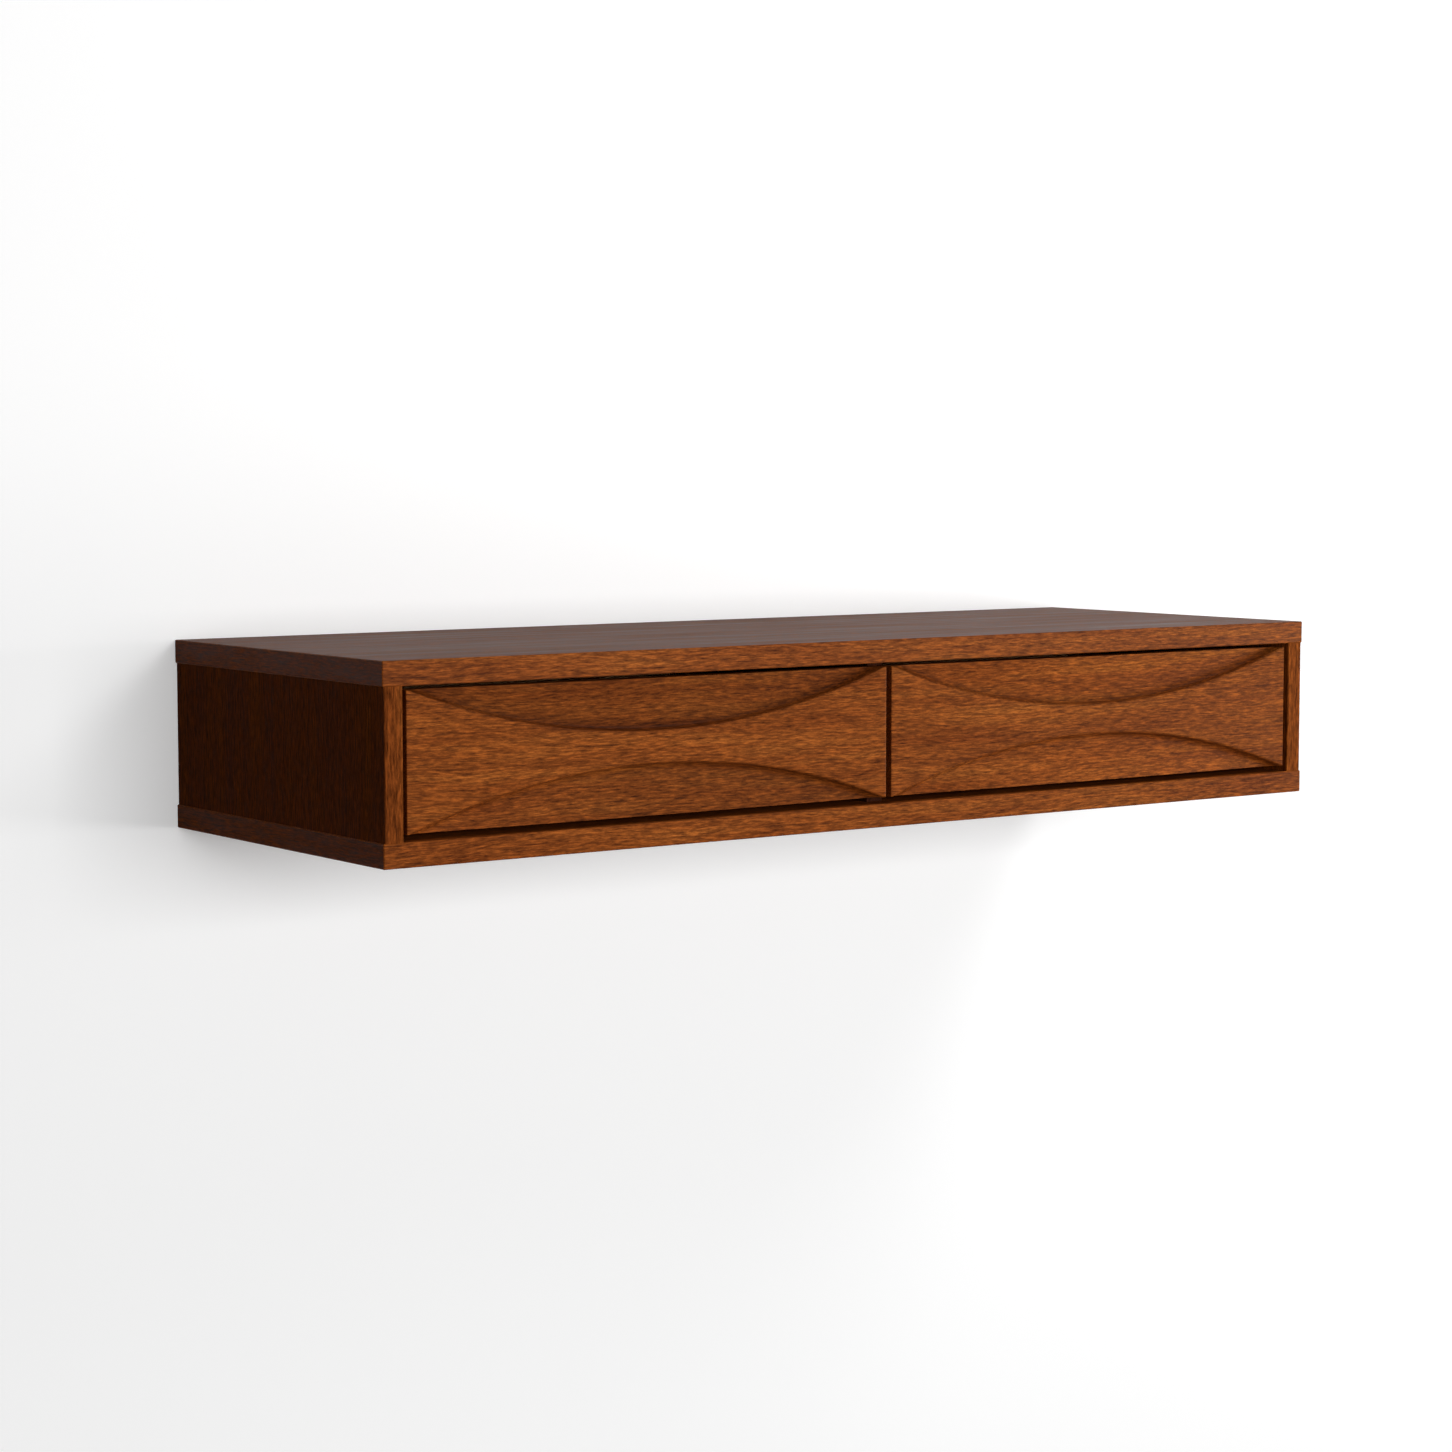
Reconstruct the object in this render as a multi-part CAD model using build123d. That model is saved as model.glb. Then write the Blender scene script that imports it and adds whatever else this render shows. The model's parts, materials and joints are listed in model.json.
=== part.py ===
from build123d import *
import os
from math import asin, degrees, radians, tan

# Wall-mounted console table with two inset drawers. Sizes are in millimetres.
# The origin is the middle of the wall cleat's four screw holes, on the wall. X runs
# along the wall, the front faces -Y and Z is up.

# Cabinet boards
TABLE_LENGTH = 1100.0
TABLE_DEPTH = 390.0
SHELF_THICK = 22.0        # top and bottom boards
SIDE_THICK = 18.0
SIDE_INSET = 1.5          # side boards stand in from the ends of the top and bottom
BAY_HEIGHT = 134.0        # clear height between the top and bottom boards
DIVIDER_THICK = 18.0
BACK_THICK = 12.0
HOUSING_DEPTH = 6.0       # grooves that hold the back panel
PANEL_PLAY = 0.5          # room at the edges of a panel in its groove
EDGE_BEVEL = 0.8          # softened edges of the boards
TONGUE_THICK = 8.0        # tongues of the upright boards in the top and bottom
TONGUE_DEPTH = 8.0
TONGUE_STOP = 30.0        # from the ends of a tongue to the divider's front and back

# Wall cleat and hanger rail
CLEAT_THICK = 18.0
CLEAT_BEVEL = 18.0        # height of the bevel over the thickness, 45 degrees
CLEAT_HEIGHT = 70.0
CLEAT_END_GAP = 30.5      # cleat's ends to the side boards
CLEAT_FLOOR_GAP = 16.0    # cleat above the bottom board
STUD_SPACING = 406.4      # wall screw holes, two on each stud
WALL_HOLE_PITCH = 30.0
WALL_HOLE_EDGE = 15.0     # lower holes above the cleat's lower edge
WALL_HOLE_DIA = 6.0
WALL_HOLE_SINK = 12.0     # width of the countersink
HANGER_SCREW_LENGTH = 28.0
HANGER_SCREW_COUNT = 5
HANGER_SCREW_EDGE = 70.0  # outer hanger screws from the side boards

# Carved drawer fronts
FRONT_THICK = 20.0
FRONT_SETBACK = 2.0       # behind the front edges of the cabinet
GAP_TOP = 4.0
GAP_BOTTOM = 6.0
GAP_SIDE = 4.5
GAP_MIDDLE = 6.0
FRONT_BEVEL = 1.0
ARC_DROP = 47.0           # depth of each arc at mid-width
ARC_MARGIN = 3.0          # arcs start this far in from the front's upright edges
LIP_DEPTH = 7.5           # crescent's depth at the lip
LIP_BEVEL = 1.0
COVE_RADIUS = 5.0         # hollow at the foot of the lip
RAMP_HEIGHT = 4.0         # how far the crescent's floor comes up towards the edge

# Drawer boxes
BOX_BACK_GAP = 33.0       # box's back to the back panel
BOX_TOP_GAP = 20.0        # box below the upper edge of its front
BOX_BOTTOM_GAP = 8.0      # box above the lower edge of its front
BOX_WALL = 12.0
BOTTOM_THICK = 6.0
BOTTOM_UP = 10.0          # bottom panel above the lower edge of the box
GROOVE_DEPTH = 6.0
GROOVE_PLAY = 0.2         # room above the bottom panel in its groove
TAIL_COUNT = 3
TAIL_ROOT = 15.0          # dovetail's width where it is narrow
TAIL_FLARE = 2.0          # widening on each side over the tail's length
DIVIDER_GAP = 2.0         # divider behind the drawer fronts

# Ball-bearing rails
RAIL_SETBACK = 2.0        # behind the face of the drawer box
RAIL_BACK_GAP = 3.0       # rail's end to the box's back
RAIL_THICK = 12.7         # from the cabinet board to the drawer side
RAIL_HEIGHT = 45.0
RAIL_SHEET = 1.2
RAIL_LIP = 2.4
CABINET_REACH = 9.5       # flanges of the cabinet rail reach this far from the board
MIDDLE_REACH = 11.2
BALL_DIA = 3.6
BALL_PLAY = 0.05          # between a ball and its two races
BALL_RIM = 1.0            # between a ball and the lip
BALL_PITCH = 80.0
BALLS_PER_ROW = 2
CAGE_SHEET = 0.4
CAGE_PLAY = 0.5           # between a cage's web and the webs beside it
CAGE_LENGTH = 120.0
ACCESS_DIA = 9.0          # holes in the middle rail over the screws
RAIL_SCREW_EDGE = 37.0

# Countersunk screws. Screws and balls are small, so they have flat sides
RAIL_SCREW_LENGTH = 8.0
RAIL_SCREW_SHANK = 3.5
RAIL_SCREW_HEAD = 6.4
WOOD_SCREW_SHANK = 4.0
WOOD_SCREW_HEAD = 8.0
FRONT_SCREW_LENGTH = 25.0
FRONT_SCREW_SPACING_X = 360.0
FRONT_SCREW_SPACING_Z = 40.0
SIDE_COUNT = 8

# Heights
cleat_low = -WALL_HOLE_PITCH / 2 - WALL_HOLE_EDGE
cleat_tip = cleat_low + CLEAT_HEIGHT
bay_floor = cleat_low - CLEAT_FLOOR_GAP
bay_top = bay_floor + BAY_HEIGHT
front_low = bay_floor + GAP_BOTTOM
front_high = bay_top - GAP_TOP
front_mid = (front_low + front_high) / 2
box_low = front_low + BOX_BOTTOM_GAP
box_high = front_high - BOX_TOP_GAP
rail_mid = (box_low + box_high) / 2

# Depths, from the wall at 0 to the front at -TABLE_DEPTH
back_rear = -CLEAT_THICK
back_face = back_rear - BACK_THICK
front_face = -TABLE_DEPTH + FRONT_SETBACK
box_face = front_face + FRONT_THICK
box_rear = back_face - BOX_BACK_GAP
divider_face = box_face + DIVIDER_GAP
rail_face = box_face + RAIL_SETBACK
rail_rear = box_rear - RAIL_BACK_GAP

# Places across the width, in the right-hand bay
side_out = TABLE_LENGTH / 2 - SIDE_INSET
side_in = side_out - SIDE_THICK
divider_out = DIVIDER_THICK / 2
bay_mid = (divider_out + side_in) / 2
front_left = GAP_MIDDLE / 2
front_right = side_in - GAP_SIDE
front_centre = (front_left + front_right) / 2
box_left = divider_out + RAIL_THICK
box_right = side_in - RAIL_THICK


def block(x, y, z):
    """Box between (low, high) pairs along X, Y and Z."""
    middle = [(low + high) / 2 for low, high in (x, y, z)]
    size = [high - low for low, high in (x, y, z)]
    return Pos(*middle) * Box(*size)


def spread(low, high, count):
    """Evenly spaced places from low to high."""
    return [low + (high - low) * i / (count - 1) for i in range(count)]


def other_hand(shape):
    """The same piece in the left-hand bay."""
    return mirror(shape, about=Plane.YZ)


def other_side(shape):
    """The same piece at the outboard side of the right-hand bay."""
    return mirror(shape, about=Plane.YZ.offset(bay_mid))


def turned(profile):
    """Small round piece with flat sides about Z, from (radius, height) points."""
    sections = [Plane.XY.offset(z) * RegularPolygon(r, SIDE_COUNT) for r, z in profile]
    return loft(sections, ruled=True)


def screws(places, length, shank, head):
    """Countersunk screws that point along -Z of the given planes."""
    neck = (shank - head) / 2
    screw = turned([(shank / 2, -length), (shank / 2, neck), (head / 2, 0)])
    return [plane * screw for plane in places]


# Cabinet: boards, tongues, back panel

def shelf_board(z):
    """Top or bottom board, softened on every edge that doesn't meet the wall."""
    board = block((-TABLE_LENGTH / 2, TABLE_LENGTH / 2), (-TABLE_DEPTH, 0), z)
    exposed = [edge for edge in board.edges() if edge.center().Y < -EDGE_BEVEL]
    return chamfer(exposed, EDGE_BEVEL)


def tongues(x):
    """Tongues at both ends of an upright board with its middle at x, and their grooves."""
    half = TONGUE_THICK / 2
    run = (divider_face + TONGUE_STOP, back_face - TONGUE_STOP)
    low = bay_floor - TONGUE_DEPTH
    high = bay_top + TONGUE_DEPTH
    tongue = block((x - half, x + half), run, (low, high))
    groove = block((x - half, x + half), run, (low - PANEL_PLAY, high + PANEL_PLAY))
    return tongue, groove


def side_board():
    """Right side board, softened on its two upright front edges."""
    board = block((side_in, side_out), (-TABLE_DEPTH, 0), (bay_floor, bay_top))
    upright = board.edges().filter_by(Axis.Z)
    return chamfer([edge for edge in upright if edge.center().Y < -EDGE_BEVEL], EDGE_BEVEL)


def back_panel():
    """Back panel and the groove that houses it on all four sides."""
    reach = side_in + HOUSING_DEPTH
    low = bay_floor - HOUSING_DEPTH
    high = bay_top + HOUSING_DEPTH
    groove = block((-reach, reach), (back_face, back_rear), (low, high))
    width = reach - PANEL_PLAY
    panel = block((-width, width), (back_face, back_rear), (low, high - PANEL_PLAY))
    return panel, groove


# Wall cleat and hanger rail

def bevelled_rail(outline, length):
    """Board along X with the given section of (y, z) points."""
    section = Plane.YZ * make_face(Polyline(*outline, close=True))
    return extrude(section, length / 2, both=True)


def wall_cleat():
    """Cleat on the wall: bevelled top edge, countersunk holes at stud spacing."""
    outline = (
        (-CLEAT_THICK, cleat_low),
        (0, cleat_low),
        (0, cleat_tip - CLEAT_BEVEL),
        (-CLEAT_THICK, cleat_tip),
    )
    cleat = bevelled_rail(outline, 2 * (side_in - CLEAT_END_GAP))
    sink = (WALL_HOLE_SINK - WALL_HOLE_DIA) / 2
    hole = Cylinder(WALL_HOLE_DIA / 2, 2 * CLEAT_THICK)
    hole += Pos(0, 0, -sink / 2) * Cone(WALL_HOLE_DIA / 2, WALL_HOLE_SINK / 2, sink)
    for x in (-STUD_SPACING / 2, STUD_SPACING / 2):
        for z in (-WALL_HOLE_PITCH / 2, WALL_HOLE_PITCH / 2):
            cleat -= Plane(origin=(x, -CLEAT_THICK, z), z_dir=(0, -1, 0)) * hole
    return cleat


def hanger_rail():
    """Rail behind the back panel that hooks over the wall cleat."""
    outline = (
        (-CLEAT_THICK, cleat_tip),
        (0, cleat_tip - CLEAT_BEVEL),
        (0, bay_top),
        (-CLEAT_THICK, bay_top),
    )
    return bevelled_rail(outline, 2 * side_in)


def hanger_screws():
    """Screws through the back panel into the hanger rail."""
    z = (cleat_tip + bay_top) / 2
    reach = side_in - HANGER_SCREW_EDGE
    places = [
        Plane(origin=(x, back_face, z), z_dir=(0, -1, 0))
        for x in spread(-reach, reach, HANGER_SCREW_COUNT)
    ]
    return screws(places, HANGER_SCREW_LENGTH, WOOD_SCREW_SHANK, WOOD_SCREW_HEAD)


# Ball-bearing rails, drawn in the right-hand bay beside the divider. u is the distance
# from the divider's face, w the height above the middle of the rail.

half_ball = BALL_DIA / 2
ball_gap = BALL_DIA + 2 * BALL_PLAY
cabinet_half = RAIL_HEIGHT / 2
middle_half = cabinet_half - RAIL_SHEET - ball_gap
drawer_half = middle_half - RAIL_SHEET - ball_gap
outer_cage_web = RAIL_SHEET + CAGE_PLAY
middle_web = outer_cage_web + CAGE_SHEET + CAGE_PLAY
inner_cage_web = middle_web + RAIL_SHEET + CAGE_PLAY
drawer_lip = inner_cage_web + CAGE_SHEET + CAGE_PLAY
lip_to_ball = RAIL_SHEET + BALL_RIM + half_ball
outer_ball_u = CABINET_REACH - lip_to_ball
inner_ball_u = MIDDLE_REACH - lip_to_ball
outer_ball_w = cabinet_half - RAIL_SHEET - ball_gap / 2
inner_ball_w = middle_half - RAIL_SHEET - ball_gap / 2
rail_run = (rail_face, rail_rear)
cage_mid = (rail_face + rail_rear) / 2
cage_run = (cage_mid - CAGE_LENGTH / 2, cage_mid + CAGE_LENGTH / 2)


def bent_strip(points, sheet, run):
    """Sheet bent along (u, w) points of its outer face and drawn out over run in Y."""
    inside = Side.RIGHT if points[0][0] > points[-3][0] else Side.LEFT
    outline = offset(Polyline(*points), sheet, kind=Kind.INTERSECTION, side=inside)
    start = Plane(origin=(divider_out, run[0], rail_mid), x_dir=(1, 0, 0), z_dir=(0, -1, 0))
    return extrude(start * make_face(outline), run[0] - run[1])


def lipped_rail(web, reach, half):
    """Rail with its web's back at u = web and flanges that end in a lip at reach."""
    points = [
        (reach, RAIL_LIP - half),
        (reach, -half),
        (web, -half),
        (web, half),
        (reach, half),
        (reach, half - RAIL_LIP),
    ]
    return bent_strip(points, RAIL_SHEET, rail_run)


def flat_sided_ball():
    """Ball with flat sides, at the origin."""
    round_part = extrude(RegularPolygon(half_ball, SIDE_COUNT, False), half_ball, both=True)
    flat = half_ball * tan(radians(180 / SIDE_COUNT))
    return chamfer(round_part.faces().filter_by(Axis.Z).edges(), half_ball - flat)


def ball_cage(web, ball_u, ball_w, reach):
    """Bent strip that holds two rows of balls, and the balls."""
    edge = reach - RAIL_SHEET - CAGE_PLAY
    half = ball_w + CAGE_SHEET / 2
    cage = bent_strip([(edge, -half), (web, -half), (web, half), (edge, half)], CAGE_SHEET, cage_run)
    ball = flat_sided_ball()
    half_row = BALL_PITCH * (BALLS_PER_ROW - 1) / 2
    balls = []
    for y in spread(cage_mid - half_row, cage_mid + half_row, BALLS_PER_ROW):
        for w in (-ball_w, ball_w):
            balls.append(Pos(divider_out + ball_u, y, rail_mid + w) * ball)
    return cage - balls, balls


def rail_screw_places(u, z_dir):
    """Planes of the two screws in a rail's web, near its ends."""
    rows = (rail_face + RAIL_SCREW_EDGE, rail_rear - RAIL_SCREW_EDGE)
    x = divider_out + u
    return [Plane(origin=(x, y, rail_mid), z_dir=z_dir) for y in rows]


def rail_set():
    """Pieces of the rail beside the divider, with its two pairs of screws."""
    cabinet = lipped_rail(0, CABINET_REACH, cabinet_half)
    middle = lipped_rail(middle_web, MIDDLE_REACH, middle_half)
    drawer = lipped_rail(RAIL_THICK, drawer_lip, drawer_half)
    size = (RAIL_SCREW_LENGTH, RAIL_SCREW_SHANK, RAIL_SCREW_HEAD)
    places = rail_screw_places(RAIL_SHEET, (1, 0, 0))
    cabinet_screws = screws(places, *size)
    drawer_screws = screws(rail_screw_places(RAIL_THICK - RAIL_SHEET, (-1, 0, 0)), *size)
    access = turned([(ACCESS_DIA / 2, 0), (ACCESS_DIA / 2, RAIL_THICK)])
    pieces = {
        "cabinet_rail": cabinet - cabinet_screws,
        "middle_rail": middle - [place * access for place in places],
        "drawer_rail": drawer - drawer_screws,
        "cabinet_screws": cabinet_screws,
        "drawer_screws": drawer_screws,
    }
    pieces["outer_cage"], pieces["outer_balls"] = ball_cage(
        outer_cage_web, outer_ball_u, outer_ball_w, CABINET_REACH
    )
    pieces["inner_cage"], pieces["inner_balls"] = ball_cage(
        inner_cage_web, inner_ball_u, inner_ball_w, MIDDLE_REACH
    )
    return pieces


# Carved drawer front

def crescent_cutter():
    """Cutter of the upper crescent: a lip, cove and ramp turned about the arc's centre."""
    chord = (front_right - front_left) / 2 - ARC_MARGIN
    radius = (chord**2 + ARC_DROP**2) / (2 * ARC_DROP)
    centre_z = front_high - ARC_DROP + radius
    far = radius - ARC_DROP - LIP_DEPTH
    ramp_end = LIP_DEPTH - RAMP_HEIGHT * (radius - far) / ARC_DROP
    bed = FilletPolyline(
        (radius, LIP_BEVEL), (radius, LIP_DEPTH), (far, ramp_end), radius=COVE_RADIUS
    )
    rim = Polyline(
        (far, ramp_end),
        (far, -FRONT_SETBACK),
        (radius + LIP_BEVEL, -FRONT_SETBACK),
        (radius + LIP_BEVEL, 0),
        (radius, LIP_BEVEL),
    )
    section = Plane(
        origin=(front_centre, front_face, centre_z), x_dir=(0, 0, -1), z_dir=(1, 0, 0)
    )
    axis = Axis((front_centre, front_face, centre_z), (0, 1, 0))
    # The cut runs out past both ends of the front
    half_turn = degrees(asin((chord + 2 * ARC_MARGIN) / far))
    profile = (section * make_face([*bed.edges(), *rim.edges()])).rotate(axis, -half_turn)
    return revolve(profile, axis, 2 * half_turn)


def carved_front():
    """Drawer front with an hourglass face between two crescents."""
    front = block((front_left, front_right), (front_face, box_face), (front_low, front_high))
    front = chamfer(front.faces().sort_by(Axis.Y)[0].edges(), FRONT_BEVEL)
    cutter = crescent_cutter()
    return front - cutter - mirror(cutter, about=Plane.XY.offset(front_mid))


# Drawer box

def dovetails(x, root, end):
    """Tails of a side board, x wide, from their root to the end of the board in Y."""
    pitch = (box_high - box_low) / TAIL_COUNT
    narrow = TAIL_ROOT / 2
    wide = narrow + TAIL_FLARE
    start = Plane.YZ.offset(x[0])
    tails = []
    for i in range(TAIL_COUNT):
        z = box_low + pitch * (i + 0.5)
        outline = Polyline(
            (root, z - narrow), (end, z - wide), (end, z + wide), (root, z + narrow), close=True
        )
        tails.append(extrude(start * make_face(outline), x[1] - x[0]))
    return tails


def drawer_box():
    """Dovetailed drawer box: inner front, back, two sides and a bottom in grooves."""
    z = (box_low, box_high)
    inner_y = (box_face + BOX_WALL, box_rear - BOX_WALL)
    inner_x = (box_left + BOX_WALL, box_right - BOX_WALL)
    ends = {
        "inner_front": block((box_left, box_right), (box_face, inner_y[0]), z),
        "box_back": block((box_left, box_right), (inner_y[1], box_rear), z),
    }
    boards = {}
    for name, x in (
        ("inboard_side", (box_left, inner_x[0])),
        ("outboard_side", (inner_x[1], box_right)),
    ):
        front_tails = dovetails(x, inner_y[0], box_face)
        back_tails = dovetails(x, inner_y[1], box_rear)
        boards[name] = block(x, inner_y, z) + front_tails + back_tails
        ends["inner_front"] -= front_tails
        ends["box_back"] -= back_tails
    boards.update(ends)
    groove_x = (inner_x[0] - GROOVE_DEPTH, inner_x[1] + GROOVE_DEPTH)
    groove_y = (inner_y[0] - GROOVE_DEPTH, inner_y[1] + GROOVE_DEPTH)
    low = box_low + BOTTOM_UP
    groove = block(groove_x, groove_y, (low, low + BOTTOM_THICK + GROOVE_PLAY))
    boards = {name: board - groove for name, board in boards.items()}
    boards["bottom"] = block(
        (groove_x[0] + PANEL_PLAY, groove_x[1] - PANEL_PLAY),
        (groove_y[0] + PANEL_PLAY, groove_y[1] - PANEL_PLAY),
        (low, low + BOTTOM_THICK),
    )
    return boards


def front_screws():
    """Screws through the inner front into the carved front."""
    places = [
        Plane(origin=(front_centre + x, box_face + BOX_WALL, front_mid + z), z_dir=(0, 1, 0))
        for x in (-FRONT_SCREW_SPACING_X / 2, FRONT_SCREW_SPACING_X / 2)
        for z in (-FRONT_SCREW_SPACING_Z / 2, FRONT_SCREW_SPACING_Z / 2)
    ]
    return screws(places, FRONT_SCREW_LENGTH, WOOD_SCREW_SHANK, WOOD_SCREW_HEAD)


# Assembly: every piece by its name

parts = {}

inboard = rail_set()
outboard = {}
for name, piece in inboard.items():
    outboard[name] = [other_side(p) for p in piece] if isinstance(piece, list) else other_side(piece)

box = drawer_box()
front_fixings = front_screws()
box["carved_front"] = carved_front() - front_fixings
box["inner_front"] -= front_fixings
box["inboard_side"] -= inboard["drawer_screws"]
box["outboard_side"] -= outboard["drawer_screws"]
box["front_screws"] = Compound(children=front_fixings)
box["rail_screws"] = Compound(children=inboard["drawer_screws"] + outboard["drawer_screws"])
box["outer_balls"] = Compound(children=inboard["outer_balls"] + outboard["outer_balls"])
box["inner_balls"] = Compound(children=inboard["inner_balls"] + outboard["inner_balls"])
for place, rails in (("inboard", inboard), ("outboard", outboard)):
    for piece in ("cabinet_rail", "middle_rail", "drawer_rail", "outer_cage", "inner_cage"):
        box[f"{place}_{piece}"] = rails[piece]
for name, piece in box.items():
    parts[f"right_{name}"] = piece
    parts[f"left_{name}"] = other_hand(piece)

back, back_groove = back_panel()
side_tongue, side_groove = tongues((side_in + side_out) / 2)
divider_tongue, divider_groove = tongues(0)
shelf_cuts = [back_groove, side_groove, other_hand(side_groove), divider_groove]
side = side_board() + side_tongue - back_groove - outboard["cabinet_screws"]
divider = block((-divider_out, divider_out), (divider_face, back_face), (bay_floor, bay_top))
divider_screws = inboard["cabinet_screws"] + [other_hand(s) for s in inboard["cabinet_screws"]]
side_screws = outboard["cabinet_screws"] + [other_hand(s) for s in outboard["cabinet_screws"]]
hanger_fixings = hanger_screws()

parts["top_board"] = shelf_board((bay_top, bay_top + SHELF_THICK)) - shelf_cuts
parts["bottom_board"] = shelf_board((bay_floor - SHELF_THICK, bay_floor)) - shelf_cuts
parts["right_side_board"] = side
parts["left_side_board"] = other_hand(side)
parts["centre_divider"] = divider + divider_tongue - divider_screws
parts["back_panel"] = back - hanger_fixings
parts["hanger_rail"] = hanger_rail() - hanger_fixings
parts["wall_cleat"] = wall_cleat()
parts["hanger_screws"] = Compound(children=hanger_fixings)
parts["cabinet_rail_screws"] = Compound(children=divider_screws + side_screws)

os.makedirs("parts", exist_ok=True)
for name, piece in parts.items():
    export_step(piece, f"parts/{name}.step")
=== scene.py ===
import json
from math import cos, pi, radians, sin, sqrt, tan

import bmesh
import bpy
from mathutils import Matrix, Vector


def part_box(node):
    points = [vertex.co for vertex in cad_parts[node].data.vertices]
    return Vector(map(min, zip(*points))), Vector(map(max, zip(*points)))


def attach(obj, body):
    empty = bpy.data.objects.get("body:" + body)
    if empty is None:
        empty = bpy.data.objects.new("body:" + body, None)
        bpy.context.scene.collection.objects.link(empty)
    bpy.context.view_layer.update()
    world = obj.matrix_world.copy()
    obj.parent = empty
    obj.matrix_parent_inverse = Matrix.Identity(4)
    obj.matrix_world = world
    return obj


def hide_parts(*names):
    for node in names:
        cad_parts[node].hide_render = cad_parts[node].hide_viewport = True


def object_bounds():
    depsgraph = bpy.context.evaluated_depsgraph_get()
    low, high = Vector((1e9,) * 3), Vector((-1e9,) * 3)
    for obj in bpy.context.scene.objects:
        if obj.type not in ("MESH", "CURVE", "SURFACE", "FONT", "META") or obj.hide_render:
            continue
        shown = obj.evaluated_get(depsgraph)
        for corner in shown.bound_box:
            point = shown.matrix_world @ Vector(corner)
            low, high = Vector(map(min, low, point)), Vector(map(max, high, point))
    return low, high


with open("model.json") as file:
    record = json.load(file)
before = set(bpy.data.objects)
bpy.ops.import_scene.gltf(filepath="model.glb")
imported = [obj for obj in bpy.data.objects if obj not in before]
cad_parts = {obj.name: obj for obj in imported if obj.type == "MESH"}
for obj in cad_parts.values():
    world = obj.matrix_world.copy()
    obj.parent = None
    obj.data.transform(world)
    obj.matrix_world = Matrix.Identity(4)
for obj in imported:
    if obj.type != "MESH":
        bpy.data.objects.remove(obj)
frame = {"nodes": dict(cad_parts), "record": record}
cad_low, cad_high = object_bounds()

# Top and bottom boards: walnut veneer on board, satin oiled, with the veneer's grain
# along the table and a strip of the same veneer on each edge. They sit over and under
# the side boards on tongues.

MM = 0.001
HANDS = ("left", "right")


def srgb(code):
    """Linear colour of an sRGB hex code."""
    parts = [int(code[i:i + 2], 16) / 255 for i in (0, 2, 4)]
    return tuple(c / 12.92 if c < 0.04045 else ((c + 0.055) / 1.055) ** 2.4 for c in parts) + (1,)


def add(material, kind, sockets, stops=(), **settings):
    """Adds a node with its settings, values, links and colour stops, and returns it."""
    tree = material.node_tree
    node = tree.nodes.new("ShaderNode" + kind)
    for key, value in settings.items():
        setattr(node, key, value)
    for name, value in sockets.items():
        if isinstance(value, bpy.types.NodeSocket):
            tree.links.new(value, node.inputs[name])
        else:
            node.inputs[name].default_value = value
    for i, (place, colour) in enumerate(stops):
        elements = node.color_ramp.elements
        element = elements[i] if i < len(elements) else elements.new(place)
        element.position, element.color = place, colour
    return node


def new_material(name):
    """Empty node material."""
    material = bpy.data.materials.new(name)
    material.use_nodes = True
    material.node_tree.nodes.clear()
    return material


def streaks(material, place, size, **noise):
    """Noise drawn out along X, with streaks of a size (length, width) in metres."""
    length, width = size
    scaled = add(material, "VectorMath", {0: place, 1: (1 / length, 1 / width, 1 / width)},
                 operation="MULTIPLY")
    sockets = {"Vector": scaled.outputs[0], "Scale": 1.0, "Detail": 3.0, "Roughness": 0.6}
    return add(material, "TexNoise", {**sockets, **noise}).outputs["Fac"]


# Broad figure bends with the tree. The pores and fine lines of real walnut are about
# 0.2 mm wide, too fine to show at the camera's distance, so both are drawn coarser. An
# oiled wood's IOR is near 1.5, but the photograph shows hardly any sheen from the front,
# so it is much lower here.
FIGURE = (250 * MM, 16 * MM)
FINE_LINES = (14 * MM, 1.7 * MM)
PORES = (50 * MM, 1.5 * MM)
WAVES_PER_METRE = 5.0
WAVE_SWING = (0.0, 12 * MM, 12 * MM)
LINE_STOPS = [(0.30, (0.22, 0.18, 0.14, 1)), (0.50, (1, 1, 1, 1)), (0.70, (2.3, 2.3, 2.2, 1))]
PORE_SHARE = 0.7
RELIEF = 0.4 * MM
AXIS_FACE = 0.8
SATIN, DULL = 0.38, 0.66


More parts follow.
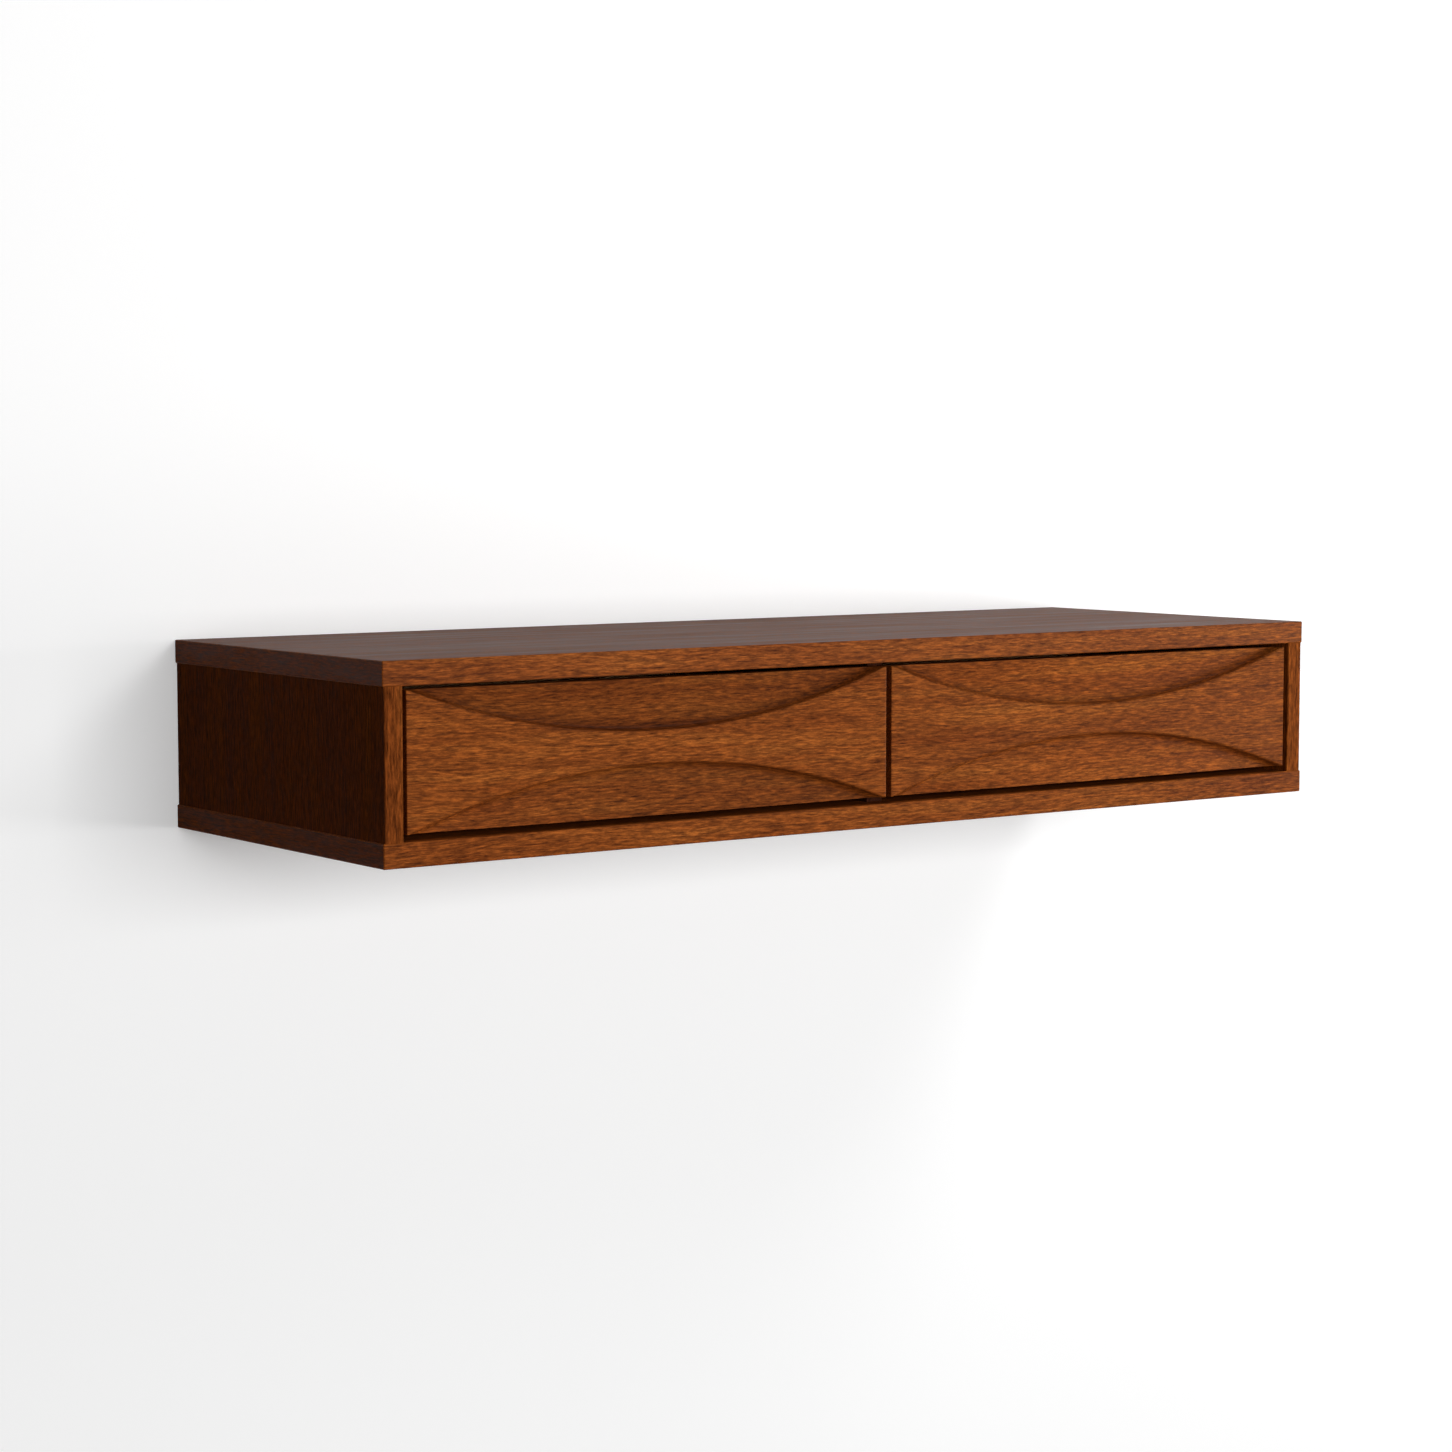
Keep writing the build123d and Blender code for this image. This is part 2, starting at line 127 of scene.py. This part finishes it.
def veneer(name, colours, turn, shift, layers=(), sides=(), turned=False, depth=1.0,
           sheen=1.11):
    """Sliced and sanded wood under thin oil. The eye gets a warm figure, short dark lines and
    open pores along the grain, and a soft, uneven sheen that shows only at a slant.
    Painted layers and faces towards an axis in sides are multiplied by a tone of their own,
    which on some pieces is painted light or shade."""
    material = new_material(name)
    place = add(material, "TexCoord", {}).outputs["Object"]
    laid = add(material, "Mapping", {"Vector": place, "Rotation": turn, "Location": shift})
    laid = laid.outputs[0]
    faces = {}
    for axis, _ in sides:
        facing = add(material, "NewGeometry", {}).outputs["True Normal"]
        facing = add(material, "SeparateXYZ", {"Vector": facing}).outputs[axis]
        facing = add(material, "Math", {0: facing}, operation="ABSOLUTE").outputs[0]
        faces[axis] = add(material, "Math", {0: facing, 1: AXIS_FACE},
                          operation="GREATER_THAN").outputs[0]
    if turned:
        across = add(material, "Mapping", {"Vector": place, "Rotation": (0, 0, pi / 2)})
        laid = add(material, "Mix", {"Factor": faces["X"], 4: laid, 5: across.outputs[0]},
                   data_type="VECTOR").outputs[1]
    wave = add(material, "TexNoise", {"Vector": laid, "Scale": WAVES_PER_METRE, "Detail": 1.0})
    bend = add(material, "VectorMath", {0: wave.outputs["Color"], 1: WAVE_SWING},
               operation="MULTIPLY")
    grain = add(material, "VectorMath", {0: laid, 1: bend.outputs[0]}).outputs[0]
    figure = streaks(material, grain, FIGURE, Detail=5.0)
    fine = streaks(material, grain, FINE_LINES, Detail=5.0, Roughness=0.75)
    pores = streaks(material, grain, PORES, Roughness=0.7)
    dark, mid, light, pore = [srgb(code) for code in colours]
    colour = add(material, "ValToRGB", {"Fac": figure},
                 [(0.32, dark), (0.52, mid), (0.72, light)]).outputs["Color"]
    lines = add(material, "ValToRGB", {"Fac": fine}, LINE_STOPS).outputs["Color"]
    colour = add(material, "Mix", {"Factor": depth, 6: colour, 7: lines},
                 data_type="RGBA", blend_type="MULTIPLY").outputs[2]
    spots = add(material, "MapRange", {"Value": pores, "From Min": 0.54, "From Max": 0.70,
                                       "To Max": PORE_SHARE * depth}).outputs[0]
    colour = add(material, "Mix", {"Factor": spots, 6: colour, 7: pore},
                 data_type="RGBA").outputs[2]
    shares = [(add(material, "Attribute", {}, attribute_name=layer).outputs["Fac"], tone)
              for layer, tone in layers]
    for share, tone in shares + [(faces[axis], tone) for axis, tone in sides]:
        colour = add(material, "Mix", {"Factor": share, 6: colour, 7: tone},
                     data_type="RGBA", blend_type="MULTIPLY").outputs[2]
    relief = add(material, "Bump", {"Height": fine, "Strength": 0.12, "Distance": RELIEF})
    uneven = add(material, "Math", {0: fine, 1: figure}).outputs[0]
    gloss = add(material, "MapRange", {"Value": uneven, "From Min": 0.7, "From Max": 1.3,
                                       "To Min": SATIN, "To Max": DULL})
    shader = add(material, "BsdfPrincipled", {
        "Base Color": colour, "Roughness": gloss.outputs[0], "IOR": sheen,
        "Normal": relief.outputs[0]})
    add(material, "OutputMaterial", {"Surface": shader.outputs[0]})
    return material


def dress(names, material):
    """Gives CAD nodes a material."""
    for name in names:
        mesh = frame["nodes"][name].data
        mesh.materials.clear()
        mesh.materials.append(material)


# Grain direction as a turn, then the walnut's dark, middle and light figure and its pores.
# As in the photograph, the end faces are darker and the top face is darker with more sheen; both
# darker tones are painted shade.
ALONG_X = (0, 0, 0)
ALONG_Z = (0, pi / 2, 0)
WALNUT = ("6e3511", "804217", "90501f", "2c1107")
# Darker end faces and top face: painted shade.
END_FACE_SHADE = (("X", (0.62, 0.50, 0.34, 1)),)
TOP_FACE_SHADE = (("Z", (0.60, 0.60, 0.60, 1)),)
dress(["top_board"],
      veneer("walnut_top", WALNUT, ALONG_X, (0, 0, 0), (), END_FACE_SHADE + TOP_FACE_SHADE,
             turned=True, sheen=1.15))
dress(["bottom_board"],
      veneer("walnut_bottom", WALNUT, ALONG_X, (3.1, 0.4, 0.2), (), END_FACE_SHADE, turned=True))

# Side boards and centre divider: the same oiled walnut veneer on board, with its grain
# upright. They stand in the top and bottom boards on tongues. Their side faces are painted
# darker as painted shade, the left board's more so, as a shaded copy of the walnut, and the
# divider, deep in the gap between the fronts, is painted dark as painted shade for that gap.

# Painted shade on the side faces, and a shaded copy of the walnut for the left board.
SIDE_FACE_SHADE = (("X", (0.78, 0.68, 0.50, 1)),)
DIVIDER_SHADE = ("2e140a", "38190c", "42200f", "180a05")
LEFT_WALNUT_SHADED = ("602c0e", "703814", "7f451b", "260e06")
dress(["left_side_board"],
      veneer("walnut_left_side_shaded", LEFT_WALNUT_SHADED, ALONG_Z, (1.3, 0.7, 0.1), (), SIDE_FACE_SHADE,
             sheen=1.05))
dress(["right_side_board"],
      veneer("walnut_right_side", WALNUT, ALONG_Z, (2.3, 0.2, 0.5), (), SIDE_FACE_SHADE,
             sheen=1.05))
# The divider's dark walnut is painted shade for the deep gap between the fronts.
dress(["centre_divider"], veneer("walnut_divider_shaded", DIVIDER_SHADE, ALONG_Z, (0.3, 1.2, 0.9)))

# Carved drawer fronts: walnut boards, cut back in a shallow crescent above and below so
# that an hourglass stands proud. The cut has a straight lip, a small cove at its foot and
# a floor that comes up again towards the edge.

# How far the arc drops and how near it comes to the corners, then its section: a rounded
# lip, a short steep wall, a cove and a ramp. Last the board's own edge, as (inset, drop).
ARC_DROP = 47 * MM
ARC_MARGIN = 3 * MM
LIP_RADIUS = 2.5 * MM
LIP_START = 2.2 * MM
LIP_STEPS = 6
WALL_LEAN = radians(75)
WALL_RUN = 0.3 * MM
COVE_RADIUS = 6 * MM
COVE_STEPS = 9
RAMP_SLOPE = radians(5.9)
RAMP_ROWS = 6
FACE_ROWS = 6
COLUMNS = 260
BEVEL_STEPS = [(0.0, 1 * MM), (0.1 * MM, 0.5 * MM), (0.35 * MM, 0.15 * MM), (1 * MM, 0.0)]


def crescent_profile(radius):
    """Depth below the face at distances from the arc's centre: lip, wall, cove, ramp."""
    points = []
    for i in range(LIP_STEPS + 1):
        turn = WALL_LEAN * i / LIP_STEPS
        points.append((radius + LIP_START - LIP_RADIUS * sin(turn),
                       LIP_RADIUS * (1 - cos(turn))))
    top_r, top_depth = points[-1][0] - WALL_RUN, points[-1][1] + WALL_RUN * tan(WALL_LEAN)
    for i in range(COVE_STEPS + 1):
        turn = WALL_LEAN - (WALL_LEAN + RAMP_SLOPE) * i / COVE_STEPS
        points.append((top_r - COVE_RADIUS * (sin(WALL_LEAN) - sin(turn)),
                       top_depth + COVE_RADIUS * (cos(turn) - cos(WALL_LEAN))))
    run = points[-1][0] - (radius - ARC_DROP)
    points.append((points[-1][0] - run, points[-1][1] - run * tan(RAMP_SLOPE)))
    return points


def depth_at(profile, distance):
    """Depth on a profile of (distance, depth) points in falling distance."""
    if distance >= profile[0][0]:
        return 0.0
    for (r0, d0), (r1, d1) in zip(profile, profile[1:]):
        if r1 <= distance <= r0:
            return d0 + (d1 - d0) * (r0 - distance) / (r0 - r1)
    return profile[-1][1]


def share_at(stops, distance):
    """Value between (distance, value) stops."""
    for (d0, v0), (d1, v1) in zip(stops, stops[1:]):
        if distance <= d1:
            return v0 + (v1 - v0) * max(0.0, distance - d0) / (d1 - d0)
    return stops[-1][1]


# Painted shade along the foot of each lip, where the lip hides the light, and a painted tone on
# the floor of each crescent that stands for its light and shade. Each has a strength by the
# distance inside the arc, times a strength along the front, from its left end, -1, to its right
# end, 1.
LIP_SHADE_STOPS = [(-2.5 * MM, 0), (0, 0.75), (2 * MM, 1), (4 * MM, 0.85), (8 * MM, 0.3), (14 * MM, 0)]
LIP_SHADE_RUNS = {"upper_foot": [(-1, 0.8), (1, 1)], "lower_foot": [(-0.5, 0), (0.5, 1)]}
FLOOR_SHADING_STOPS = [(-1 * MM, 0), (4 * MM, 1)]
FLOOR_SHADING_RUNS = {"upper_foot": [(-1, 1), (1, 1)], "lower_foot": [(-0.65, 0), (-0.1, 1)]}


def put(name, data):
    """Object in the scene for a mesh, lamp or camera."""
    piece = bpy.data.objects.new(name, data)
    bpy.context.scene.collection.objects.link(piece)
    return piece


def smooth_piece(name, made, crease):
    """Object from a bmesh, smooth apart from edges sharper than crease."""
    mesh = bpy.data.meshes.new(name)
    made.to_mesh(mesh)
    made.free()
    mesh.shade_smooth()
    mesh.set_sharp_from_angle(angle=crease)
    return put(name, mesh)


def carved_front(node):
    """Carved front, fitted to its CAD solid, with painted shade along the foot of each lip and
    painted light and shade on the crescent floors.
    """
    low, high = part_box(node)
    middle_x, middle_z = (low.x + high.x) / 2, (low.z + high.z) / 2
    half_width, half_height = (high.x - low.x) / 2, (high.z - low.z) / 2
    chord = half_width - ARC_MARGIN
    radius = (chord**2 + ARC_DROP**2) / (2 * ARC_DROP)
    centre = half_height - ARC_DROP + radius
    profile = crescent_profile(radius)
    bevel = BEVEL_STEPS[-1][0]
    rim = [(half_width - inset, drop) for inset, drop in BEVEL_STEPS[:-1]]
    inner = [(half_width - bevel) * (2 * i / COLUMNS - 1) for i in range(COLUMNS + 1)]
    across = [(-x, drop) for x, drop in rim] + [(x, 0.0) for x in inner] + rim[::-1]
    (ramp_r, _), (foot_r, _) = profile[-1], profile[-2]
    ramp_rows = [ramp_r + (foot_r - ramp_r) * i / RAMP_ROWS for i in range(RAMP_ROWS + 1)]
    rings = sorted({r for r, _ in profile} | set(ramp_rows))
    made = bmesh.new()
    layers = {name: made.verts.layers.float.new(name)
              for name in ("upper_foot", "lower_foot", "cut")}
    columns = []
    for x, side_drop in across:
        cut = sorted((min(centre - sqrt(r**2 - x**2), half_height - bevel) for r in rings),
                     reverse=True)
        upper = [(half_height - inset, drop) for inset, drop in BEVEL_STEPS[:-1]]
        upper += [(z, 0.0) for z in cut]
        face = [(cut[-1] * (1 - 2 * i / FACE_ROWS), 0.0) for i in range(1, FACE_ROWS)]
        column = []
        for z, rim_drop in upper + face + [(-z, drop) for z, drop in upper[::-1]]:
            distance = sqrt(x**2 + (centre - abs(z))**2)
            depth = max(depth_at(profile, distance), side_drop, rim_drop)
            point = made.verts.new((middle_x + x, low.y + depth, middle_z + z))
            foot = "upper_foot" if z > 0 else "lower_foot"
            inside, along = radius - distance, x / half_width
            # Strengths of the painted shade at the lip's foot and of the painted light and shade
            # on the floor.
            point[layers[foot]] = (share_at(LIP_SHADE_STOPS, inside)
                                   * share_at(LIP_SHADE_RUNS[foot], along))
            point[layers["cut"]] = (share_at(FLOOR_SHADING_STOPS, inside)
                                    * share_at(FLOOR_SHADING_RUNS[foot], along))
            column.append(point)
        columns.append(column)
    for left, right in zip(columns, columns[1:]):
        for i in range(len(left) - 1):
            made.faces.new((left[i], left[i + 1], right[i + 1], right[i]))
    edge = ([column[0] for column in columns] + columns[-1][1:]
            + [column[-1] for column in columns[-2::-1]] + columns[0][-2:0:-1])
    back = [made.verts.new((v.co.x, high.y, v.co.z)) for v in edge]
    for i in range(len(edge)):
        j = (i + 1) % len(edge)
        made.faces.new((edge[i], edge[j], back[j], back[i]))
    made.faces.new(back)
    bmesh.ops.remove_doubles(made, verts=made.verts, dist=1e-6)
    bmesh.ops.recalc_face_normals(made, faces=made.faces)
    return smooth_piece(node + "_carving", made, radians(50))


# The left front's crescent floors are painted duller than its face, as painted shade, and the
# right front's a little brighter, as painted light.
FRONT_SHIFT = {"left": (5.0, 0.3, 0.6), "right": (7.7, 0.9, 0.15)}
CUT_FLOOR_SHADING = {"left": (0.76, 0.74, 0.72, 1), "right": (1.08, 1.06, 1.0, 1)}
# Painted shade along the foot of the upper lips, lighter along the lower lips.
UPPER_LIP_SHADE = (0.42, 0.38, 0.34, 1)
LOWER_LIP_SHADE = (0.72, 0.68, 0.64, 1)
for hand in HANDS:
    piece = carved_front(hand + "_carved_front")
    tones = (("cut", CUT_FLOOR_SHADING[hand]), ("upper_foot", UPPER_LIP_SHADE), ("lower_foot", LOWER_LIP_SHADE))
    piece.data.materials.append(
        veneer("walnut_front_" + hand, WALNUT, ALONG_X, FRONT_SHIFT[hand], tones, END_FACE_SHADE))
    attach(piece, hand + "_drawer")
    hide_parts(hand + "_carved_front")

# Back panel, drawer boxes and hanging rails. The back panel and the drawer bottoms are
# birch plywood in grooves, the boxes are lacquered beech with dovetailed corners, and the
# hanger rail and wall cleat are sanded poplar, bevelled to hook together and screwed on.

# Pale close-grained woods look even and light, so their lines and pores show at a third.
BIRCH = ("cfae7f", "d9bb8e", "e2c89e", "a9814f")
BEECH = ("d0a277", "d9ae85", "e2bb94", "a8744a")
POPLAR = ("b9a075", "c6ae84", "d2bd95", "8d7450")
PALE = 0.35
BOX_END = (0.62, 0.55, 0.46, 1)
ALONG_Y = (0, 0, pi / 2)
dress(["back_panel"], veneer("birch_plywood", BIRCH, ALONG_X, (0.4, 0.2, 0.8), depth=PALE))
dress(["hanger_rail"], veneer("poplar_rail", POPLAR, ALONG_X, (0.9, 1.2, 0.3), depth=PALE))
dress(["wall_cleat"], veneer("poplar_cleat", POPLAR, ALONG_X, (2.9, 0.7, 1.3), depth=PALE))
lengthways = veneer("beech_lengthways", BEECH, ALONG_X, (0.2, 0.6, 0.4),
                    sides=(("X", BOX_END),), depth=PALE)
depthways = veneer("beech_depthways", BEECH, ALONG_Y, (0.7, 0.1, 1.4),
                   sides=(("Y", BOX_END),), depth=PALE)
bottoms = veneer("birch_plywood_bottom", BIRCH, ALONG_X, (1.4, 0.9, 0.2), depth=PALE)
for hand in HANDS:
    dress([hand + "_inner_front", hand + "_box_back"], lengthways)
    dress([hand + "_inboard_side", hand + "_outboard_side"], depthways)
    dress([hand + "_bottom"], bottoms)

# Drawer rails and screws. Each rail is three rolled strips of zinc-plated steel, screwed to
# cabinet and drawer, with polished steel balls between them in two cages. The screws are
# turned steel, plated yellow, with a countersunk head and a cross recess.

MOTTLE = (1.2 * MM, 1.2 * MM)


def plated_steel(name, colour, brightest, dullest):
    """Plated or polished steel: bright, slightly blurred reflections with a fine mottle
    where the plating's crystals catch the light."""
    material = new_material(name)
    place = add(material, "TexCoord", {}).outputs["Object"]
    crystals = streaks(material, place, MOTTLE, Detail=2.0)
    gloss = add(material, "MapRange", {"Value": crystals, "To Min": brightest,
                                       "To Max": dullest})
    shader = add(material, "BsdfPrincipled", {
        "Base Color": srgb(colour), "Metallic": 1.0, "Roughness": gloss.outputs[0]})
    add(material, "OutputMaterial", {"Surface": shader.outputs[0]})
    return material


zinc = plated_steel("zinc_plated_steel", "c9ccd0", 0.28, 0.42)
polished = plated_steel("polished_steel", "dcdde0", 0.08, 0.16)
yellow_zinc = plated_steel("yellow_zinc", "c2b487", 0.25, 0.4)
RAIL_BEND = 0.4 * MM
LONG_EDGE = 30 * MM
HEAD_SIDES = 32
HEAD_RIM = 0.05
HEAD_SCALE = 0.95
THREAD_ROOT = 0.72
THREAD_PITCH = 1.2 * MM
THREAD_END = 0.8
RECESS_ARM, RECESS_HALF, RECESS_DEPTH, RECESS_TAPER = 0.60, 0.15, 0.52, 0.65


def body_of(node):
    """Body that a CAD node rides on."""
    bodies = frame["record"]["behaviour"]["bodies"]
    return next(body for body, nodes in bodies.items() if node in nodes)


def stand_in(node, made, material):
    """Turns a bmesh into a piece that replaces a CAD node."""
    piece = smooth_piece(node + "_detail", made, radians(35))
    piece.data.materials.append(material)
    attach(piece, body_of(node))
    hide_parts(node)


def loose_parts(node):
    """Corners of each separate piece in a CAD node."""
    made = bmesh.new()
    made.from_mesh(frame["nodes"][node].data)
    bmesh.ops.remove_doubles(made, verts=made.verts, dist=1e-6)
    parts, seen = [], set()
    for start in made.verts:
        if start in seen:
            continue
        seen.add(start)
        part, waiting = [], [start]
        while waiting:
            corner = waiting.pop()
            part.append(corner.co.copy())
            for edge in corner.link_edges:
                other = edge.other_vert(corner)
                if other not in seen:
                    seen.add(other)
                    waiting.append(other)
        parts.append(part)
    made.free()
    return parts


def rolled_rail(node):
    """Rail with its bends and edges softened."""
    made = bmesh.new()
    made.from_mesh(frame["nodes"][node].data)
    bmesh.ops.remove_doubles(made, verts=made.verts, dist=1e-6)
    bmesh.ops.dissolve_limit(made, angle_limit=radians(1), verts=made.verts, edges=made.edges)
    long_edges = [e for e in made.edges
                  if abs((e.verts[0].co - e.verts[1].co).y) > 0.9 * e.calc_length()
                  and e.calc_length() > LONG_EDGE and e.calc_face_angle(0) > radians(30)]
    bmesh.ops.bevel(made, geom=long_edges, offset=RAIL_BEND, segments=3, affect="EDGES")
    return made


def round_balls(node):
    """Round balls in place of the flat-sided ones."""
    made = bmesh.new()
    for part in loose_parts(node):
        low = [min(p[i] for p in part) for i in range(3)]
        high = [max(p[i] for p in part) for i in range(3)]
        middle = Vector([(a + b) / 2 for a, b in zip(low, high)])
        ball = bmesh.ops.create_icosphere(made, subdivisions=3, radius=(high[2] - low[2]) / 2)
        bmesh.ops.translate(made, vec=middle, verts=ball["verts"])
    return made


def cross_screw(made, start, axis, length, shank, head):
    """Countersunk screw from its head at start, along axis, with a cross recess."""
    turn = axis.to_track_quat("Z", "X").to_matrix()

    def ring(points, depth):
        return [made.verts.new(start + turn @ Vector((x, y, depth))) for x, y in points]

    def circle(radius):
        turns = [2 * pi * i / HEAD_SIDES for i in range(HEAD_SIDES)]
        return [(radius * cos(t), radius * sin(t)) for t in turns]

    def cross(size):
        arm, half = RECESS_ARM * size, RECESS_HALF * size
        arms = []
        for c, d in ((1, 0), (0, 1), (-1, 0), (0, -1)):
            arms += [(half * c + half * d, half * d - half * c),
                     (arm * c + half * d, arm * d - half * c),
                     (arm * c - half * d, arm * d + half * c)]
        return arms

    def wall(upper, lower):
        for i in range(len(upper)):
            j = (i + 1) % len(upper)
            made.faces.new((upper[i], upper[j], lower[j], lower[i]))

    rim = HEAD_RIM * head
    sections = [(0.96 * head, 0), (head, rim), (shank, head - shank + rim)]
    while sections[-1][1] < THREAD_END * length:
        depth = sections[-1][1]
        sections += [(THREAD_ROOT * shank, depth + 0.5 * MM), (shank, depth + THREAD_PITCH)]
    sections += [(0.1 * shank, length)]
    rings = [ring(circle(radius), depth) for radius, depth in sections]
    for upper, lower in zip(rings, rings[1:]):
        wall(upper, lower)
    made.faces.new(rings[-1])
    mouth, foot = ring(cross(head), 0), ring(cross(RECESS_TAPER * head), RECESS_DEPTH * head)
    wall(mouth, foot)
    made.faces.new(foot)
    edges = [made.edges.get((loop[i], loop[(i + 1) % len(loop)]))
             for loop in (rings[0], mouth) for i in range(len(loop))]
    bmesh.ops.triangle_fill(made, use_beauty=True, edges=edges)


def cross_screws(node):
    """Screws with ridges for a thread, in place of the flat-sided ones. The wide end of
    each is its head."""
    made = bmesh.new()
    for part in loose_parts(node):
        low = Vector([min(p[i] for p in part) for i in range(3)])
        high = Vector([max(p[i] for p in part) for i in range(3)])
        size = high - low
        k = max(range(3), key=lambda i: size[i])
        middle = (low + high) / 2
        reach = {end: max((p - middle).length for p in part if abs(p[k] - end[k]) < 0.1 * MM)
                 for end in (low.copy().freeze(), high.copy().freeze())}
        ends = sorted(reach, key=lambda end: reach[end])
        head_k, tip_k = ends[1][k], ends[0][k]
        axis = Vector((0, 0, 0))
        axis[k] = 1 if tip_k > head_k else -1
        start = middle.copy()
        start[k] = head_k
        widths = [((p - start).cross(axis)).length for p in part]
        cross_screw(made, start, axis, size[k], min(w for w in widths if w > 0.5 * MM),
                    HEAD_SCALE * max(widths))
    bmesh.ops.recalc_face_normals(made, faces=made.faces)
    return made


for node in ["hanger_screws", "cabinet_rail_screws"]:
    stand_in(node, cross_screws(node), yellow_zinc)
for hand in HANDS:
    for node in (hand + "_front_screws", hand + "_rail_screws"):
        stand_in(node, cross_screws(node), yellow_zinc)
    for node in (hand + "_outer_balls", hand + "_inner_balls"):
        stand_in(node, round_balls(node), polished)
    for place in ("inboard", "outboard"):
        for rail in ("cabinet_rail", "middle_rail", "drawer_rail"):
            node = f"{hand}_{place}_{rail}"
            stand_in(node, rolled_rail(node), zinc)
        dress([f"{hand}_{place}_outer_cage", f"{hand}_{place}_inner_cage"], zinc)

# Wall and floor: plastered wall and a plain floor, both with matt white paint. The table
# hangs on the wall, which is open behind the cabinet and can be seen through from behind,
# so that the table's back shows in other views.

WALL_GAP = 0.5 * MM


def stage_piece(name, corners, faces, material):
    """Flat piece of the room from its corners."""
    mesh = bpy.data.meshes.new(name)
    mesh.from_pydata(corners, [], faces)
    mesh.materials.append(material)
    put(name, mesh)


def white_paint(name, seen_colour, room_colour, lift):
    """Matt paint: an even white without gloss where it is seen, also in gloss and glass,
    and a grey for the light that it throws on the table, as a dimmer room would."""
    material = new_material(name)
    ray = add(material, "LightPath", {})
    seen = add(material, "Math", {0: ray.outputs["Is Camera Ray"],
                                  1: ray.outputs["Is Glossy Ray"]}, operation="MAXIMUM")
    seen = add(material, "Math", {0: seen.outputs[0],
                                  1: ray.outputs["Is Transmission Ray"]}, operation="MAXIMUM")
    colour = add(material, "Mix", {"Factor": seen.outputs[0], 6: srgb(room_colour),
                                   7: srgb(seen_colour)}, data_type="RGBA")
    matt = add(material, "BsdfDiffuse", {"Color": colour.outputs[2]})
    glow = add(material, "Math", {0: seen.outputs[0], 1: lift}, operation="MULTIPLY")
    glow = add(material, "Emission", {"Strength": glow.outputs[0]})
    lifted = add(material, "AddShader", {0: matt.outputs[0], 1: glow.outputs[0]})
    clear = add(material, "BsdfTransparent", {})
    side = add(material, "NewGeometry", {}).outputs["Backfacing"]
    both = add(material, "MixShader", {0: side, 1: lifted.outputs[0], 2: clear.outputs[0]})
    add(material, "OutputMaterial", {"Surface": both.outputs[0]})
    return material


WALL_LEFT, WALL_RIGHT, WALL_TOP = -5.0, 5.0, 3.0
FLOOR, FLOOR_FRONT = -1.1, -7.0
HOLE_INSET = 2 * MM
hole = (cad_low.x + HOLE_INSET, cad_high.x - HOLE_INSET,
        cad_low.z + HOLE_INSET, cad_high.z - HOLE_INSET)
paint = white_paint("matt_white_wall", "fafafa", "505050", 0.12)
floor_paint = white_paint("matt_white_floor", "fafafa", "505050", 0.5)
stage_piece("wall", [
    (WALL_LEFT, WALL_GAP, FLOOR), (WALL_RIGHT, WALL_GAP, FLOOR),
    (WALL_RIGHT, WALL_GAP, WALL_TOP), (WALL_LEFT, WALL_GAP, WALL_TOP),
    (hole[0], WALL_GAP, hole[2]), (hole[1], WALL_GAP, hole[2]),
    (hole[1], WALL_GAP, hole[3]), (hole[0], WALL_GAP, hole[3]),
], [(0, 1, 5, 4), (1, 2, 6, 5), (2, 3, 7, 6), (3, 0, 4, 7)], paint)
stage_piece("floor", [
    (WALL_LEFT, FLOOR_FRONT, FLOOR), (WALL_RIGHT, FLOOR_FRONT, FLOOR),
    (WALL_RIGHT, WALL_GAP, FLOOR), (WALL_LEFT, WALL_GAP, FLOOR),
], [(0, 1, 2, 3)], floor_paint)

# Studio light: a wide soft box low in front, a second one low at the right end for the
# lips of the carving, a small one above, one behind for the cabinet's back, and a dim room.


def soft_box(name, place, aim, width, height, power):
    """Rectangular lamp at a place, turned to face the aim."""
    lamp = bpy.data.lights.new(name, "AREA")
    lamp.shape = "RECTANGLE"
    lamp.size, lamp.size_y, lamp.energy = width, height, power
    piece = put(name, lamp)
    piece.location = place
    piece.rotation_euler = (Vector(aim) - Vector(place)).to_track_quat("-Z", "Y").to_euler()
    piece.visible_camera = False


soft_box("front_lamp", (-0.6, -6.2, 0.55), (0, -0.2, 0), 4.1, 1.8, 265)
soft_box("side_lamp", (4.7, -1.75, -0.25), (0, -0.2, 0), 2.2, 1.3, 115)
soft_box("top_lamp", (1.5, -1.4, 1.9), (0.1, -0.2, 0), 1.2, 1.2, 22)
soft_box("back_lamp", (0.4, 3.0, 1.0), (0, 0, 0), 1.6, 1.6, 60)

world = bpy.data.worlds.new("dim_room")
bpy.context.scene.world = world
world.use_nodes = True
world.node_tree.nodes.clear()
ray = add(world, "LightPath", {}).outputs["Is Camera Ray"]
level = add(world, "MapRange", {"Value": ray, "To Min": 0.05, "To Max": 1.0}).outputs[0]
room = add(world, "Background", {"Color": (1, 1, 1, 1), "Strength": level})
add(world, "OutputWorld", {"Surface": room.outputs[0]})

# Camera: at the photograph's viewing angle, left of the table and a little above it, with
# a long lens.

camera = put("camera", bpy.data.cameras.new("camera"))
camera.location = (-1.9174, -2.7769, 0.2852)
camera.rotation_euler = (radians(90 - 4.812), radians(0.014), radians(-35.867))
camera.data.lens = 80.43
camera.data.sensor_width = 36
bpy.context.scene.camera = camera
bpy.context.scene.view_settings.view_transform = "Standard"
